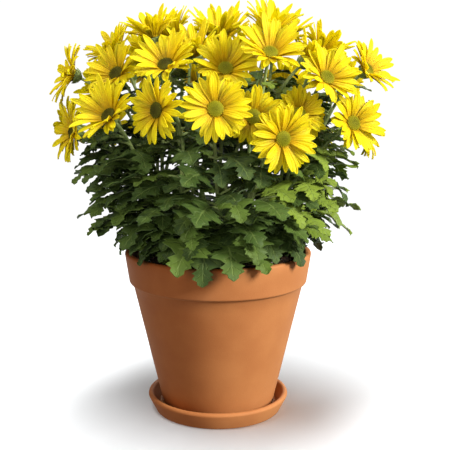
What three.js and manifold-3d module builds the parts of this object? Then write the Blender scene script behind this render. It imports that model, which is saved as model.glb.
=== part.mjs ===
// A pot chrysanthemum: a clay pot on its saucer, filled with potting mix, with eleven leafy stems that
// carry forty-four yellow daisy blooms. Millimetres, +Z up, the front of the plant towards -Y.
// The origin is the middle of the saucer's flat underside.

import * as THREE from "three";
import { mergeVertices } from "three/addons/utils/BufferGeometryUtils.js";
import Module from "manifold-3d";

const wasm = await Module();
wasm.setup();

// ---------------------------------------------------------------- driving dimensions

const GAP = 0.3; // between pieces that touch

const SAUCER_FLOOR = 5; // thickness under the pot
const SAUCER_BASE_R = 57; // outside, at the ground
const SAUCER_LIP_R = 63.2; // outside, at the lip
const SAUCER_HEIGHT = 16;
const SAUCER_WALL = 5;
const FOOT_BEVEL = 1; // at the ground, and at the pot's foot
const SAUCER_COVE = [1.2, 1.5]; // how wide and high the bevel inside is, round the floor

const POT_HEIGHT = 141.2;
const POT_BASE_R = 49.5;
const POT_NECK_R = 75.8; // the body's radius where it meets the rim
const RIM_HEIGHT = 28;
const RIM_LOW_R = 79;
const RIM_TOP_R = 82.5;
const RIM_WALL = 6; // thickness at its top
const RIM_EDGE = 2.4; // radius of its rounded edges
const POT_WALL = 5.5;
const POT_FLOOR = 7;
const DRAIN_R = 8;
const ROUND_SIDES = 24; // sides of the turned pieces

const SOIL_BELOW_RIM = 12;
const SOIL_CROWN = 4; // how far the mix heaps up in the middle
const HOLE_DEPTH = 20;
const HOLE_R = 6.8;
const HOLE_SIDES = 5;

const STEM_R = 2.5;
const STEM_SIDES = 4;
const STALK_R = 1.5;
const STALK_SIDES = 3;
const STALK_END = 3; // how far it goes into the bloom's cup
const STEM_RINGS = [0, 0.25, 0.5, 0.75, 1]; // shares of its way
const STALK_RINGS = [0, 0.22, 0.5, 1]; // its leaves grow at the two in the middle
const FOOT_RING_R = 23; // where the stems stand in the mix
const FORK_R = 66; // where a stem's top fork is
const FORK_Z = 198;
const STEM_RISE = 50; // how far a stem keeps to its first, upright direction
const FORK_HEIGHT = 50; // degrees above level that it points at its top
const FORK_PULL = 25;
const DOME_R = 130; // radius of the dome of blooms
const FORK_SPREAD = 0.0045; // how much lower on the stem a stalk starts, per millimetre inside the dome
const STALK_START_PULL = 0.2; // shares of a stalk's span that its two ends keep their direction for
const STALK_END_PULL = 0.4;

const HEAD_UNDER_RING = 0.6; // room between the rays' common ring and the cup under it
const HEAD_OVER_RING = 0.4; // and the disc over it
const NECK_R = 3; // the thin part of a bloom's head, which the ray florets grow round
const HEAD_SIDES = 5;
const DISC_R = 6.2;
const DISC_CROWN = 3;
const DISC_LIFT = 1; // how much higher the disc's edge is than the top of its neck
const CALYX_R = 5.6;
const CALYX_DEPTH = 8;
const RING_INNER_R = 4;
const RING_OUTER_R = 6;
const RING_HALF = 1.1; // half the thickness of the rays' common ring at its outer edge
const RAYS = 6; // ray florets in each of the two layers
const RAY_SHOULDER = 0.72; // where a ray is widest, as a share of its reach
const RAY_HALF_WIDTH = 6;
const CUP = 12; // how far the upper rays rise at least, in degrees
const CUP_SPREAD = 8; // between one bloom and another
const CUP_SKYWARD = 34; // more, where a bloom faces up
const LAYER_STEP = 14; // between the two layers
const RAY_KEEL = 1.1; // a ray's thickness along its middle
const RAY_KEEL_PLACE = 0.8; // where, as a share of the way to its shoulder
const RAY_REACH = [0.9, 0.16]; // as shares of the bloom's reach: the shortest, and how much more
const RAY_TILT = 5; // degrees between the steepest ray and the flattest
const RAY_SWING = 0.12; // radians between a tip turned to one side and one turned to the other
const RAY_DROOP = 3.5; // how far a tip hangs at most
const RAY_SEED = 100;

const LEAF_THICKNESS = 1.3;
const STEM_LEAVES = 8; // on each leafy stem, besides one on each bloom's stalk
const CLEARANCE = 6.5; // between points spread over pieces of different stems
const OWN_CLEARANCE = 6; // and of the same stem
const PETIOLE_CLEARANCE = 5;
const RIM_INSIDE = 9; // how far inside the rim's top a leaf may go lower than the rim
const RIM_ROOM = 2.5; // between a leaf and the rim, outside and above it
const SOIL_ROOM = 3; // and the top of the mix
const BLOOM_BACK = 7; // and a bloom's middle, behind it
const BLOOM_FRONT = 16; // and in front of it
const BLOOM_ROOM = 2.5; // and the tips of its rays
const LEAF_SEED = 6;
const LEAF_ATTEMPTS = 24;
const LEAF_SHRINK = 0.025; // how much shorter a blade is with each attempt
// Of a leaf on a stem: where the lowest one is and how much of the stem they share, how long the
// lowest one's blade and petiole are and how much shorter the top one's, and degrees of rise and bend.
const STEM_LEAF = { lowest: 0.26, run: 0.72, blade: 50, petiole: 30, rise: 28, bend: 86 };
const TOP_BLADE_LESS = 4;
const TOP_PETIOLE_LESS = 14;
const STALK_LEAF = { petiole: 9, rise: 22, bend: 70 };
const STALK_LEAVES = [
  [0.22, 44],
  [0.5, 38],
]; // how far up a bloom's stalk, and how long a blade
// How leaves differ: each has the least value, and how much more it may be.
const LEAF_TURN = [5, 65]; // degrees away from the stem's way out
const LEAF_ROLL = [4, 22]; // degrees about its middle line
const LEAF_SIZE = [0.85, 0.3];
const LEAF_FOLD = [0.12, 0.2]; // how steeply its halves rise from the rib
const RISE_SPREAD = 30; // degrees between the highest and the lowest
const BEND_SPREAD = 40;
const PETIOLE_HALF_WIDTH = 1.3; // at the blade, and as thick
const ROOT_HALF_WIDTH = 0.7; // at the stem, and as thick
const STEM_INSET = 0.8; // from the middle of a stem to where the solid of a petiole starts
const STALK_INSET = 0.2;
// One half of a leaf's edge from its base to its tip: how far along the blade, and how far from
// the rib, as shares of the blade's length.
const LEAF_EDGE = [
  [0.13, 0.27],
  [0.3, 0.13],
  [0.52, 0.36],
  [0.69, 0.15],
];
const RIB_POINT = 0.45; // where the rib is thickest
const RIB_SHARES = [0.25, 0.5, 0.75]; // points of the rib and the petiole that room is measured at
const PETIOLE_SHARES = [0.6, 1];
const CURVE_STEPS = 12;

const POT_Z = SAUCER_FLOOR;
const POT_TOP = POT_Z + POT_HEIGHT;
const RIM_Z = POT_TOP - RIM_HEIGHT;
const RIM_INNER_R = RIM_TOP_R - RIM_WALL;
const SOIL_TOP = POT_TOP - SOIL_BELOW_RIM;

// Each leafy stem leans out at a bearing, in degrees from the front towards +X, and carries blooms:
// x, y, z of the bloom's middle, the bearing and the height in degrees that it faces, and its reach.
const SPRAYS = [
  {
    bearing: 0,
    blooms: [
      [-2, -112, 275, 4, 18, 27],
      [6, -63, 304, 2, 35, 27],
      [42, -34, 335, 44, 74, 23],
    ],
  },
  {
    bearing: 25,
    blooms: [
      [49, -97, 252, 22, 3, 28],
      [27, -86, 268, 8, 10, 23],
      [40, -80, 316, 12, 46, 27],
      [73, -24, 311, 100, 41, 23],
    ],
  },
  {
    bearing: 54,
    blooms: [
      [64, -62, 268, 14, 12, 23],
      [86, -60, 297, 27, 32, 27],
      [108, -58, 261, 29, 21, 26],
      [42, 8, 323, 129, 72, 22],
    ],
  },
  {
    bearing: 83,
    blooms: [
      [124, -16, 254, 85, 3, 26],
      [125, -15, 303, 52, 34, 26],
      [109, 39, 290, 153, 39, 22],
      [116, 27, 256, 81, 17, 25],
    ],
  },
  {
    bearing: 116,
    blooms: [
      [89, 10, 317, 113, 54, 23],
      [97, 79, 251, 96, 6, 25],
      [55, 44, 331, 120, 66, 26],
      [65, 102, 253, 178, 3, 25],
    ],
  },
  {
    bearing: 158,
    blooms: [
      [4, 50, 330, 166, 82, 25],
      [13, 123, 252, 194, 24, 26],
      [26, 83, 312, 148, 70, 24],
      [64, 73, 286, 168, 38, 26],
    ],
  },
  {
    bearing: 195,
    blooms: [
      [26, 113, 284, 132, 53, 27],
      [-26, 121, 253, 231, 11, 25],
      [-19, 114, 287, 169, 51, 26],
      [-66, 89, 300, 195, 31, 24],
      [-25, 73, 316, 168, 56, 22],
    ],
  },
  {
    bearing: 233,
    blooms: [
      [-64, 112, 251, 199, 11, 26],
      [-101, 72, 250, 221, 19, 25],
      [-63, 55, 316, 204, 37, 22],
      [-99, 31, 284, 235, 30, 27],
    ],
  },
  {
    bearing: 272,
    blooms: [
      [-124, -6, 299, 284, 20, 27],
      [-121, -26, 252, 298, 8, 27],
      [-129, 22, 254, 254, 0, 26],
      [-40, 22, 331, 263, 66, 24],
    ],
  },
  {
    bearing: 304,
    blooms: [
      [-85, -76, 268, 322, 37, 28],
      [-84, -26, 300, 326, 34, 27],
      [-88, 6, 317, 296, 52, 24],
      [-53, -28, 331, 293, 73, 24],
    ],
  },
  {
    bearing: 333,
    blooms: [
      [-45, -105, 274, 317, 5, 26],
      [-41, -66, 307, 342, 45, 27],
      [0, -2, 330, 339, 80, 24],
      [-19, -37, 316, 326, 70, 24],
    ],
  },
];

const DEGREE = Math.PI / 180;

// ---------------------------------------------------------------- materials

const material = (color, roughness) => new THREE.MeshStandardMaterial({ color, roughness, metalness: 0 });
const CLAY = material(0xc4743f, 0.85);
const MIX = material(0x3b2a1e, 1);
const GREEN = material(0x4d6b2a, 0.6);
const YELLOW = material(0xf5d816, 0.55);

// ---------------------------------------------------------------- solids

// A closed three.js geometry as a solid that can be joined and cut.
function solidOf(geometry) {
  const bare = new THREE.BufferGeometry();
  bare.setAttribute("position", geometry.getAttribute("position"));
  bare.setIndex(geometry.getIndex());
  const merged = mergeVertices(bare, 1e-4);
  return new wasm.Manifold(
    new wasm.Mesh({
      numProp: 3,
      vertProperties: merged.getAttribute("position").array,
      triVerts: new Uint32Array(merged.getIndex().array),
    }),
  );
}

// The largest body of a fused solid: a hollow that fusing seals is filled, and a loose scrap dropped.
function wholeOf(solid) {
  return solid.decompose().reduce((largest, body) => (body.volume() > largest.volume() ? body : largest));
}

function meshOf(name, solid, finish) {
  const { vertProperties, triVerts } = solid.getMesh();
  const geometry = new THREE.BufferGeometry();
  geometry.setAttribute("position", new THREE.BufferAttribute(vertProperties, 3));
  geometry.setIndex(new THREE.BufferAttribute(triVerts, 1));
  geometry.computeVertexNormals();
  const mesh = new THREE.Mesh(geometry, finish);
  mesh.name = name;
  return mesh;
}

// Points and the triangles between them, as one closed solid.
function solidFromPoints(points, triangles) {
  const geometry = new THREE.BufferGeometry().setFromPoints(points);
  geometry.setIndex(triangles.flat());
  return solidOf(geometry);
}

// A profile of radius and height turned round the Z axis.
function turned(profile, sides) {
  const points = profile.map(([radius, height]) => new THREE.Vector2(radius, height));
  return new THREE.LatheGeometry(points, sides).rotateX(Math.PI / 2);
}

// A quarter turn of a rounded edge, from one angle to another, in steps.
function arc(radius, height, size, from, to, steps) {
  return Array.from({ length: steps + 1 }, (_, i) => {
    const angle = (from + ((to - from) * i) / steps) * DEGREE;
    return [radius + size * Math.cos(angle), height + size * Math.sin(angle)];
  });
}

// A rod with flat sides along a curve, with a ring of corners at each of these shares of its way.
function rodAlong(curve, shares, radius, sides, across) {
  const points = [];
  const triangles = [];
  for (const share of shares) {
    const middle = curve.getPoint(share);
    const forward = curve.getTangent(share);
    const side = across.clone().cross(forward).normalize();
    const other = forward.clone().cross(side);
    for (let i = 0; i < sides; i++) {
      const angle = (2 * Math.PI * i) / sides;
      points.push(along(along(middle, side, radius * Math.cos(angle)), other, radius * Math.sin(angle)));
    }
  }
  const last = points.length - sides;
  for (let i = 0; i < last; i++) {
    const next = i - (i % sides) + ((i + 1) % sides);
    triangles.push([i, next, next + sides], [i, next + sides, i + sides]);
  }
  for (let i = 2; i < sides; i++) {
    triangles.push([0, i, i - 1], [last, last + i - 1, last + i]);
  }
  return solidFromPoints(points, triangles);
}

// Random numbers from 0 to 1 that are the same on every run.
function randomFrom(seed) {
  let state = seed;
  return () => {
    state = (state + 0x6d2b79f5) | 0;
    let mixed = Math.imul(state ^ (state >>> 15), 1 | state);
    mixed = (mixed + Math.imul(mixed ^ (mixed >>> 7), 61 | mixed)) ^ mixed;
    return ((mixed ^ (mixed >>> 14)) >>> 0) / 4294967296;
  };
}

// ---------------------------------------------------------------- pot, saucer and potting mix

const potOuterR = (z) => POT_BASE_R + ((POT_NECK_R - POT_BASE_R) * (z - POT_Z)) / (POT_HEIGHT - RIM_HEIGHT);
const potInnerR = (z) => potOuterR(z) - POT_WALL;

function makeSaucer() {
  const lip = SAUCER_WALL / 2;
  const [coveWidth, coveHeight] = SAUCER_COVE;
  const profile = [
    [0, 0],
    [SAUCER_BASE_R - FOOT_BEVEL, 0],
    [SAUCER_BASE_R, FOOT_BEVEL],
    ...arc(SAUCER_LIP_R - lip, SAUCER_HEIGHT - lip, lip, 0, 180, 3),
    [SAUCER_BASE_R - SAUCER_WALL + coveWidth, SAUCER_FLOOR + coveHeight],
    [SAUCER_BASE_R - SAUCER_WALL, SAUCER_FLOOR],
    [0, SAUCER_FLOOR],
  ];
  return meshOf("saucer", solidOf(turned(profile, ROUND_SIDES)), CLAY);
}

function makePot() {
  const floorZ = POT_Z + POT_FLOOR;
  const edgeZ = POT_TOP - RIM_EDGE;
  const profile = [
    [DRAIN_R, POT_Z],
    [POT_BASE_R - FOOT_BEVEL, POT_Z],
    [potOuterR(POT_Z + FOOT_BEVEL), POT_Z + FOOT_BEVEL],
    [potOuterR(RIM_Z), RIM_Z],
    ...arc(RIM_LOW_R - RIM_EDGE, RIM_Z + RIM_EDGE, RIM_EDGE, -90, 0, 2),
    ...arc(RIM_TOP_R - RIM_EDGE, edgeZ, RIM_EDGE, 0, 90, 2),
    ...arc(RIM_INNER_R + RIM_EDGE, edgeZ, RIM_EDGE, 90, 180, 1),
    [potInnerR(RIM_Z), RIM_Z],
    [potInnerR(floorZ), floorZ],
    [DRAIN_R, floorZ],
    [DRAIN_R, POT_Z],
  ];
  return meshOf("pot", solidOf(turned(profile, ROUND_SIDES)), CLAY);
}

function makeSoil() {
  const floorZ = POT_Z + POT_FLOOR;
  const neckR = potInnerR(RIM_Z);
  const topR = neckR + ((RIM_INNER_R - neckR) * (SOIL_TOP - RIM_Z)) / (RIM_HEIGHT - RIM_EDGE);
  const profile = [
    [0, floorZ],
    [potInnerR(floorZ) - GAP, floorZ],
    [neckR - GAP, RIM_Z],
    [topR - GAP, SOIL_TOP],
    [0, SOIL_TOP + SOIL_CROWN],
  ];
  let soil = solidOf(turned(profile, ROUND_SIDES));
  for (const { foot } of sprays) {
    const hole = turned(
      [
        [0, 0],
        [HOLE_R, 0],
        [HOLE_R, 2 * HOLE_DEPTH],
        [0, 2 * HOLE_DEPTH],
      ],
      HOLE_SIDES,
    );
    soil = soil.subtract(solidOf(hole.translate(foot.x, foot.y, foot.z)));
  }
  return meshOf("potting_mix", soil, MIX);
}

// ---------------------------------------------------------------- where everything grows

const towards = (bearing, height) =>
  new THREE.Vector3(
    Math.sin(bearing * DEGREE) * Math.cos(height * DEGREE),
    -Math.cos(bearing * DEGREE) * Math.cos(height * DEGREE),
    Math.sin(height * DEGREE),
  );

// A bloom's middle, the way it faces, and two directions across its face.
function bloomFrom([x, y, z, bearing, height, reach]) {
  const axis = towards(bearing, height);
  const across = new THREE.Vector3(0, 0, 1).cross(axis).normalize();
  return {
    middle: new THREE.Vector3(x, y, z),
    axis,
    across,
    up: axis.clone().cross(across),
    reach,
  };
}

const along = (start, direction, distance) => start.clone().addScaledVector(direction, distance);

const sprays = SPRAYS.map(({ bearing, blooms }) => {
  const out = towards(bearing, 0);
  const foot = along(new THREE.Vector3(0, 0, SOIL_TOP - HOLE_DEPTH), out, FOOT_RING_R);
  const fork = along(new THREE.Vector3(0, 0, FORK_Z), out, FORK_R);
  const stem = new THREE.CubicBezierCurve3(
    foot,
    along(foot, new THREE.Vector3(0, 0, 1), STEM_RISE),
    along(fork, towards(bearing, FORK_HEIGHT), -FORK_PULL),
    fork,
  );
  const heads = blooms.map(bloomFrom);
  const stalks = heads.map((head) => {
    // Outer blooms leave the stem at its top, inner ones lower down.
    const inside = Math.max(0, DOME_R - Math.hypot(head.middle.x, head.middle.y));
    const share = 1 - FORK_SPREAD * inside;
    const start = stem.getPoint(share);
    const end = along(head.middle, head.axis, -CALYX_DEPTH + STALK_END);
    const span = start.distanceTo(end);
    return new THREE.CubicBezierCurve3(
      start,
      along(start, stem.getTangent(share), STALK_START_PULL * span),
      along(end, head.axis, -STALK_END_PULL * span),
      end,
    );
  });
  return { out, foot, stem, heads, stalks };
});

const allHeads = sprays.flatMap((spray) => spray.heads);

// ---------------------------------------------------------------- leaves

// The middle line of a leaf bends down evenly from its root to its tip, in an upright plane.
function leafFrame(leaf, distance) {
  const whole = leaf.petiole + leaf.blade;
  const height = leaf.rise - (leaf.bend * distance) / whole;
  const run = (whole / leaf.bend) * (Math.sin(leaf.rise) - Math.sin(height));
  const climb = (whole / leaf.bend) * (Math.cos(height) - Math.cos(leaf.rise));
  const out = new THREE.Vector3(Math.sin(leaf.heading), -Math.cos(leaf.heading), 0);
  const side = new THREE.Vector3(Math.cos(leaf.heading), Math.sin(leaf.heading), 0);
  const normal = out.clone().multiplyScalar(-Math.sin(height));
  normal.z = Math.cos(height);
  const point = along(leaf.root, out, run);
  point.z += climb;
  return {
    point,
    side: side.clone().multiplyScalar(Math.cos(leaf.roll)).addScaledVector(normal, Math.sin(leaf.roll)),
    normal: normal.clone().multiplyScalar(Math.cos(leaf.roll)).addScaledVector(side, -Math.sin(leaf.roll)),
  };
}

// A point of the leaf: along its middle line, out to the side, and up from the surface.
function leafPoint(leaf, distance, sideways, lift) {
  const { point, side, normal } = leafFrame(leaf, distance);
  return point.addScaledVector(side, sideways).addScaledVector(normal, lift + leaf.fold * Math.abs(sideways));
}

// The corners of a leaf's edge, from the base round the tip and back.
function leafEdge(leaf) {
  const corner = ([share, width], side) =>
    leafPoint(leaf, leaf.petiole + share * leaf.blade, side * width * leaf.blade, 0);
  return [
    ...LEAF_EDGE.map((place) => corner(place, -1)),
    leafPoint(leaf, leaf.petiole + leaf.blade, 0, 0),
    ...LEAF_EDGE.map((place) => corner(place, 1)).reverse(),
  ];
}

// A flat-topped stalk of three sides, and a blade that is thickest at one point of its rib: both
// its faces are fans of triangles round that point.
function leafSolid(leaf) {
  const half = LEAF_THICKNESS / 2;
  const section = (distance, halfWidth) => [
    leafPoint(leaf, distance, -halfWidth, 0),
    leafPoint(leaf, distance, halfWidth, 0),
    leafPoint(leaf, distance, 0, -halfWidth),
  ];
  const edge = leafEdge(leaf);
  const rib = (lift) => leafPoint(leaf, leaf.petiole + RIB_POINT * leaf.blade, 0, lift);
  const points = [
    ...section(leaf.inset, ROOT_HALF_WIDTH),
    ...section(leaf.petiole, PETIOLE_HALF_WIDTH),
    ...edge,
    rib(half),
    rib(-half),
  ];
  const [right, left, under] = [3, 4, 5];
  const outline = [right, ...edge.map((_, i) => 6 + i), left];
  const ribTop = 6 + edge.length;
  const ribUnder = ribTop + 1;
  const triangles = [
    [0, 1, 2],
    [0, right, left],
    [0, left, 1],
    [1, left, under],
    [1, under, 2],
    [2, under, right],
    [2, right, 0],
    [left, right, ribTop],
    [under, left, ribUnder],
    [right, under, ribUnder],
  ];
  for (let i = 1; i < outline.length; i++) {
    triangles.push([outline[i - 1], outline[i], ribTop], [outline[i], outline[i - 1], ribUnder]);
  }
  return solidFromPoints(points, triangles);
}

// Whether a point is above the mix, and above or outside the pot's rim.
function clearOfPot(point) {
  const radius = Math.hypot(point.x, point.y);
  const atRim = radius > RIM_TOP_R - RIM_INSIDE && radius < RIM_TOP_R + RIM_ROOM;
  const overMix = point.z > SOIL_TOP + SOIL_CROWN + SOIL_ROOM;
  return (!atRim || point.z > POT_TOP + RIM_ROOM) && (radius > RIM_TOP_R || overMix);
}

function clearOfBlooms(point) {
  return allHeads.every(({ middle, axis, reach }) => {
    const away = point.clone().sub(middle);
    const ahead = away.dot(axis);
    const aside = Math.sqrt(Math.max(0, away.lengthSq() - ahead * ahead));
    return ahead < -BLOOM_BACK || ahead > BLOOM_FRONT || aside > reach + BLOOM_ROOM;
  });
}

// Points spread over a leaf: its edge, its rib, and halfway between them.
function leafSamples(leaf) {
  const edge = leafEdge(leaf);
  const rib = RIB_SHARES.map((share) => leafPoint(leaf, leaf.petiole + share * leaf.blade, 0, 0));
  const onEdge = edge.slice(1).map((point, i) => point.clone().lerp(edge[i], 0.5));
  const inside = [...edge, ...onEdge].map((point) => point.clone().lerp(rib[1], 0.5));
  return [...edge, ...onEdge, ...rib, ...inside];
}

// Whether a leaf keeps clear of the pot, the blooms, and all that is in place: its own stem's
// pieces may come nearer than another's, because they are joined anyway.
function fits(leaf, owner, taken) {
  const petiole = PETIOLE_SHARES.map((share) => leafPoint(leaf, share * leaf.petiole, 0, 0));
  const samples = leafSamples(leaf);
  const apart = (points, own, others) =>
    points.every((point) =>
      taken.every((other) => other.point.distanceTo(point) > (other.owner === owner ? own : others)),
    );
  return (
    [...petiole, ...samples].every((point) => clearOfPot(point) && clearOfBlooms(point)) &&
    apart(petiole, -1, PETIOLE_CLEARANCE) &&
    apart(samples, OWN_CLEARANCE, CLEARANCE)
  );
}

// Where leaves grow: along each stem from side to side, and two on each bloom's stalk.
function leafSlots(spray) {
  const slots = [];
  for (let i = 0; i < STEM_LEAVES; i++) {
    const share = i / (STEM_LEAVES - 1);
    slots.push({
      ...STEM_LEAF,
      root: spray.stem.getPoint(STEM_LEAF.lowest + STEM_LEAF.run * share),
      side: i % 2 ? 1 : -1,
      blade: STEM_LEAF.blade - TOP_BLADE_LESS * share,
      petiole: STEM_LEAF.petiole - TOP_PETIOLE_LESS * share,
      inset: STEM_INSET,
    });
  }
  spray.stalks.forEach((stalk, i) => {
    for (const [place, blade] of STALK_LEAVES) {
      slots.push({
        ...STALK_LEAF,
        root: stalk.getPoint(place),
        side: (i + slots.length) % 2 ? 1 : -1,
        blade,
        inset: STALK_INSET,
      });
    }
  });
  return slots;
}

// Every leaf of every stem. Each slot tries a few leaves, and keeps the first that fits.
function growLeaves() {
  const random = randomFrom(LEAF_SEED);
  const some = ([least, more]) => least + more * random();
  const taken = [];
  const take = (points, owner) => taken.push(...points.map((point) => ({ point, owner })));
  sprays.forEach((spray, owner) => {
    [spray.stem, ...spray.stalks].forEach((curve) => take(curve.getPoints(CURVE_STEPS), owner));
  });
  return sprays.map((spray, owner) => {
    const leaves = [];
    for (const slot of leafSlots(spray)) {
      const bearing = Math.atan2(slot.root.x, -slot.root.y);
      for (let attempt = 0; attempt < LEAF_ATTEMPTS; attempt++) {
        const shrink = 1 - LEAF_SHRINK * attempt;
        const leaf = {
          root: slot.root,
          heading: bearing + slot.side * some(LEAF_TURN) * DEGREE,
          rise: (slot.rise + RISE_SPREAD * (random() - 0.5)) * DEGREE,
          bend: (slot.bend + BEND_SPREAD * (random() - 0.5)) * DEGREE,
          blade: slot.blade * some(LEAF_SIZE) * shrink,
          petiole: slot.petiole,
          inset: slot.inset,
          roll: slot.side * some(LEAF_ROLL) * DEGREE,
          fold: some(LEAF_FOLD),
        };
        if (fits(leaf, owner, taken)) {
          leaves.push(leaf);
          take(leafSamples(leaf), owner);
          break;
        }
      }
    }
    return leaves;
  });
}

// ---------------------------------------------------------------- stems with their heads

// Turns something modelled on the Z axis to sit at a bloom and face as it faces.
function placeAt({ middle, axis, across, up }, geometry) {
  return geometry.applyMatrix4(new THREE.Matrix4().makeBasis(across, up, axis).setPosition(middle));
}

// The green cup under the rays, the neck through them, and the domed disc on top.
function headSolid(head) {
  const under = -RING_HALF - HEAD_UNDER_RING;
  const over = RING_HALF + HEAD_OVER_RING;
  const profile = [
    [0, -CALYX_DEPTH],
    [CALYX_R, under],
    [NECK_R, under],
    [NECK_R, over],
    [DISC_R, over + DISC_LIFT],
    [0, over + DISC_CROWN],
  ];
  return solidOf(placeAt(head, turned(profile, HEAD_SIDES)));
}

function makeSpray(spray, index, leaves) {
  const sideways = new THREE.Vector3(0, 0, 1).cross(spray.out);
  let solid = rodAlong(spray.stem, STEM_RINGS, STEM_R, STEM_SIDES, sideways);
  spray.stalks.forEach((stalk, i) => {
    solid = solid.add(rodAlong(stalk, STALK_RINGS, STALK_R, STALK_SIDES, spray.heads[i].across));
  });
  for (const head of spray.heads) {
    solid = solid.add(headSolid(head));
  }
  for (const leaf of leaves) {
    solid = solid.add(leafSolid(leaf));
  }
  return meshOf("leafy_stem_" + String(index + 1).padStart(2, "0"), wholeOf(solid), GREEN);
}

// ---------------------------------------------------------------- ray florets

// The two layers of rays of one bloom, with the ring that they grow from. The upper layer's roots
// fill the upper half of the ring's side, and the lower layer's, half a step on, the lower half.
function makeRays(head, index) {
  const random = randomFrom(RAY_SEED + index);
  const points = [];
  const triangles = [];
  const step = (2 * Math.PI) / RAYS;
  const turn = random() * step;
  const add = (angle, radius, height) => {
    const flat = head.across
      .clone()
      .multiplyScalar(Math.cos(turn + angle))
      .addScaledVector(head.up, Math.sin(turn + angle));
    points.push(head.middle.clone().addScaledVector(flat, radius).addScaledVector(head.axis, height));
    return points.length - 1;
  };
  const every = (count, make) => Array.from({ length: count }, (_, i) => make(i));
  const top = every(RAYS, (i) => add(i * step, RING_OUTER_R, RING_HALF));
  const middle = every(2 * RAYS, (i) => add((i * step) / 2, RING_OUTER_R, 0));
  const under = every(RAYS, (i) => add((i + 0.5) * step, RING_OUTER_R, -RING_HALF));
  const inner = every(RAYS, (i) => add(i * step, RING_INNER_R, 0));
  const cup = (CUP + CUP_SPREAD * random() + CUP_SKYWARD * head.axis.z) * DEGREE;

  // The free corners of a ray: its two shoulders, its tip, and its keel underneath.
  const blade = (middleAngle, rootHeight, slope) => {
    const [shortest, more] = RAY_REACH;
    const reach = head.reach * (shortest + more * random());
    const shoulder = reach * RAY_SHOULDER;
    const lift = slope + RAY_TILT * (random() - 0.5) * DEGREE;
    const height = (radius) => rootHeight + (radius - RING_OUTER_R) * Math.tan(lift);
    const half = RAY_HALF_WIDTH / shoulder;
    const keel = shoulder * RAY_KEEL_PLACE;
    const swing = RAY_SWING * (random() - 0.5);
    const droop = RAY_DROOP * random();
    return {
      right: add(middleAngle - half, shoulder, height(shoulder)),
      left: add(middleAngle + half, shoulder, height(shoulder)),
      tip: add(middleAngle + swing, reach, height(reach) - droop),
      keel: add(middleAngle, keel, height(keel) - RAY_KEEL),
    };
  };

  for (let i = 0; i < RAYS; i++) {
    const next = (i + 1) % RAYS;
    const m = (k) => middle[(2 * i + k) % (2 * RAYS)];

    const upper = blade((i + 0.5) * step, RING_HALF, cup);
    const [a, b] = [top[i], top[next]];
    triangles.push([a, upper.right, b], [upper.right, upper.left, b], [upper.right, upper.tip, upper.left]);
    for (const [p, q] of [
      [m(0), m(1)],
      [m(1), m(2)],
      [m(2), upper.left],
      [upper.left, upper.tip],
      [upper.tip, upper.right],
      [upper.right, m(0)],
    ]) {
      triangles.push([p, q, upper.keel]);
    }
    triangles.push([m(0), upper.right, a], [upper.left, m(2), b]);

    const lower = blade((i + 1) * step, 0, cup - LAYER_STEP * DEGREE);
    const [c, d] = [under[i], under[next]];
    triangles.push([m(1), lower.right, m(2)], [m(2), lower.left, m(3)], [m(2), lower.right, lower.left]);
    triangles.push([lower.right, lower.tip, lower.left]);
    for (const [p, q] of [
      [c, d],
      [d, lower.left],
      [lower.left, lower.tip],
      [lower.tip, lower.right],
      [lower.right, c],
    ]) {
      triangles.push([p, q, lower.keel]);
    }
    triangles.push([c, lower.right, m(1)], [lower.left, d, m(3)]);

    triangles.push([a, b, inner[next]], [a, inner[next], inner[i]]);
    triangles.push([inner[i], inner[next], d], [inner[i], d, c]);
  }
  return meshOf("rays_" + String(index + 1).padStart(2, "0"), solidFromPoints(points, triangles), YELLOW);
}

// ---------------------------------------------------------------- the whole plant

const plant = new THREE.Group();
plant.name = "pot_chrysanthemum";
plant.add(makeSaucer(), makePot(), makeSoil());
const leaves = growLeaves();
sprays.forEach((spray, index) => plant.add(makeSpray(spray, index, leaves[index])));
allHeads.forEach((head, index) => plant.add(makeRays(head, index)));

export default plant;
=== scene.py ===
"""A pot chrysanthemum in bloom: clay pot and saucer, potting mix, leafy stems and yellow daisies.

The stems, leaves and rays grow by the same seeded rule as the solids that they replace, so each one
lies where its solid does. That rule works in millimetres; every mesh is made in metres.
"""

import math
from typing import NamedTuple

import bpy
import numpy as np
from mathutils import Matrix, Vector


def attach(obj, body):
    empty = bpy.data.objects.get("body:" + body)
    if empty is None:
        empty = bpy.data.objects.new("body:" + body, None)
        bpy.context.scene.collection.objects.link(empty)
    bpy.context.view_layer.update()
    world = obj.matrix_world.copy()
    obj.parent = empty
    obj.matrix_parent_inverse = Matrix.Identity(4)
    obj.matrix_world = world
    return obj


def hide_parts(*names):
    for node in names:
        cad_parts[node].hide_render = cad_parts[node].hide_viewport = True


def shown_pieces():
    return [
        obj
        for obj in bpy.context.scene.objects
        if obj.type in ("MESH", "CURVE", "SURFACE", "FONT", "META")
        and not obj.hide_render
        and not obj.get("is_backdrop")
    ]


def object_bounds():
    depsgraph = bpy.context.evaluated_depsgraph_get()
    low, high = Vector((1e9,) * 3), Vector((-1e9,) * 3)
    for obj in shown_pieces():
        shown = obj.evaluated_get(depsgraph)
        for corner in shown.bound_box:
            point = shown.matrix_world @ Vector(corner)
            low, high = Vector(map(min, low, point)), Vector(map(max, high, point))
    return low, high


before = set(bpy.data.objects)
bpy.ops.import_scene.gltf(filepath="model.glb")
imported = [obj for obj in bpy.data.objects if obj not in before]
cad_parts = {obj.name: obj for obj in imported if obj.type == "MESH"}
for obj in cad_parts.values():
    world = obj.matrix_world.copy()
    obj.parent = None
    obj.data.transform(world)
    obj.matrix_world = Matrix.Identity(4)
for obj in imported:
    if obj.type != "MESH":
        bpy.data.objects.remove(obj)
cad_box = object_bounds()

# --- driving dimensions, in millimetres

MM = 0.001

SAUCER_FLOOR = 5
SAUCER_BASE_R = 57
SAUCER_LIP_R = 63.2
SAUCER_HEIGHT = 16
SAUCER_WALL = 5

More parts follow.
